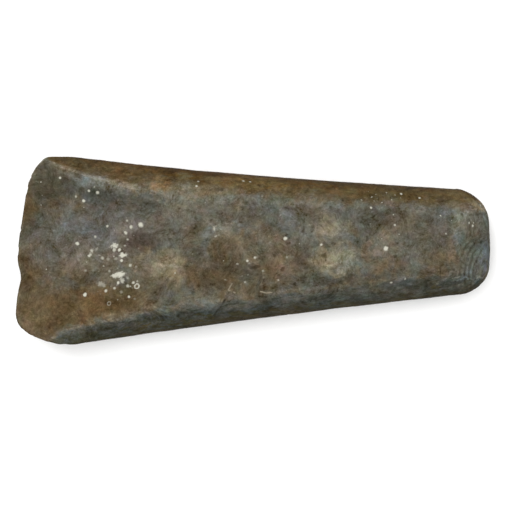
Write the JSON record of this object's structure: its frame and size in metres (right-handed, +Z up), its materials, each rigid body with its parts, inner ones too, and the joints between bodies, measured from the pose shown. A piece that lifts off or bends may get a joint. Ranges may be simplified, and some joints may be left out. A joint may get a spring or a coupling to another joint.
{
  "type": "stone gouge",
  "caption": "Ground-stone woodworking gouge: a tapering stone with a scooped face running out from a curved cutting edge, bevelled sides and a blunt struck poll.",
  "frame": {"origin": "middle of the tool's footprint, on the plane of the small flat on its back that it rests on", "axes": "+X along the tool from the bit to the poll, +Y across it to the side with the wider bevel, +Z up out of the scooped face"},
  "size_m": [0.16, 0.063, 0.0318],
  "materials": {
    "stone": "matte ground stone, smoother on the scoop and the crests, with brown patina, blue-grey stone showing through and white mineral crust in specks"
  },
  "bodies": {
    "root": {"gouge": "stone"}
  },
  "joints": []
}
